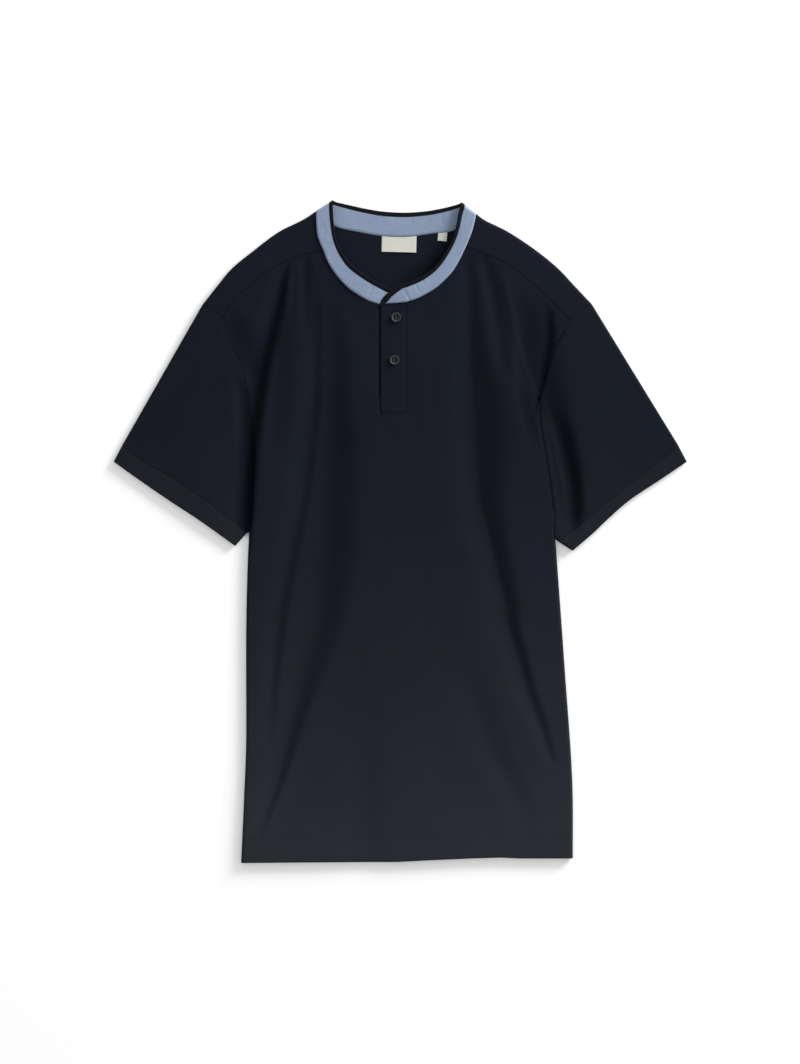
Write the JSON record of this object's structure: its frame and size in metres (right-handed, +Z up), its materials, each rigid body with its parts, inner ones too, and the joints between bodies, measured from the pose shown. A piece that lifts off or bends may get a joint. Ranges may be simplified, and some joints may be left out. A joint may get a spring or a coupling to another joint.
{
  "type": "band-collar polo shirt laid flat",
  "caption": "Short-sleeved polo shirt with a standing band collar and a short buttoned placket, laid flat and face up.",
  "frame": {"origin": "on the surface that the shirt lies on, under the middle of its outline", "axes": "+Y from the hem to the neck, +Z up out of the surface through the shirt's front, +X to the right of somebody who looks down at it"},
  "size_m": [0.6542, 0.7559, 0.01],
  "materials": {
    "navy_jersey": "matt fine pique knit",
    "chambray": "matt plain weave of white and blue yarns",
    "navy_tipping": "matt folded strip",
    "button": "satin",
    "label": "satin weave, blank"
  },
  "bodies": {
    "root": {"front_panel": "navy_jersey", "back_panel": "navy_jersey", "sleeve_left": "navy_jersey", "sleeve_right": "navy_jersey", "cuff_left": "navy_jersey", "cuff_right": "navy_jersey", "placket_upper": "navy_jersey", "placket_under": "navy_jersey", "collar_band": "chambray", "collar_tipping": "navy_tipping", "button_top": "button", "button_bottom": "button", "neck_label": "label", "size_label": "label"}
  },
  "joints": []
}
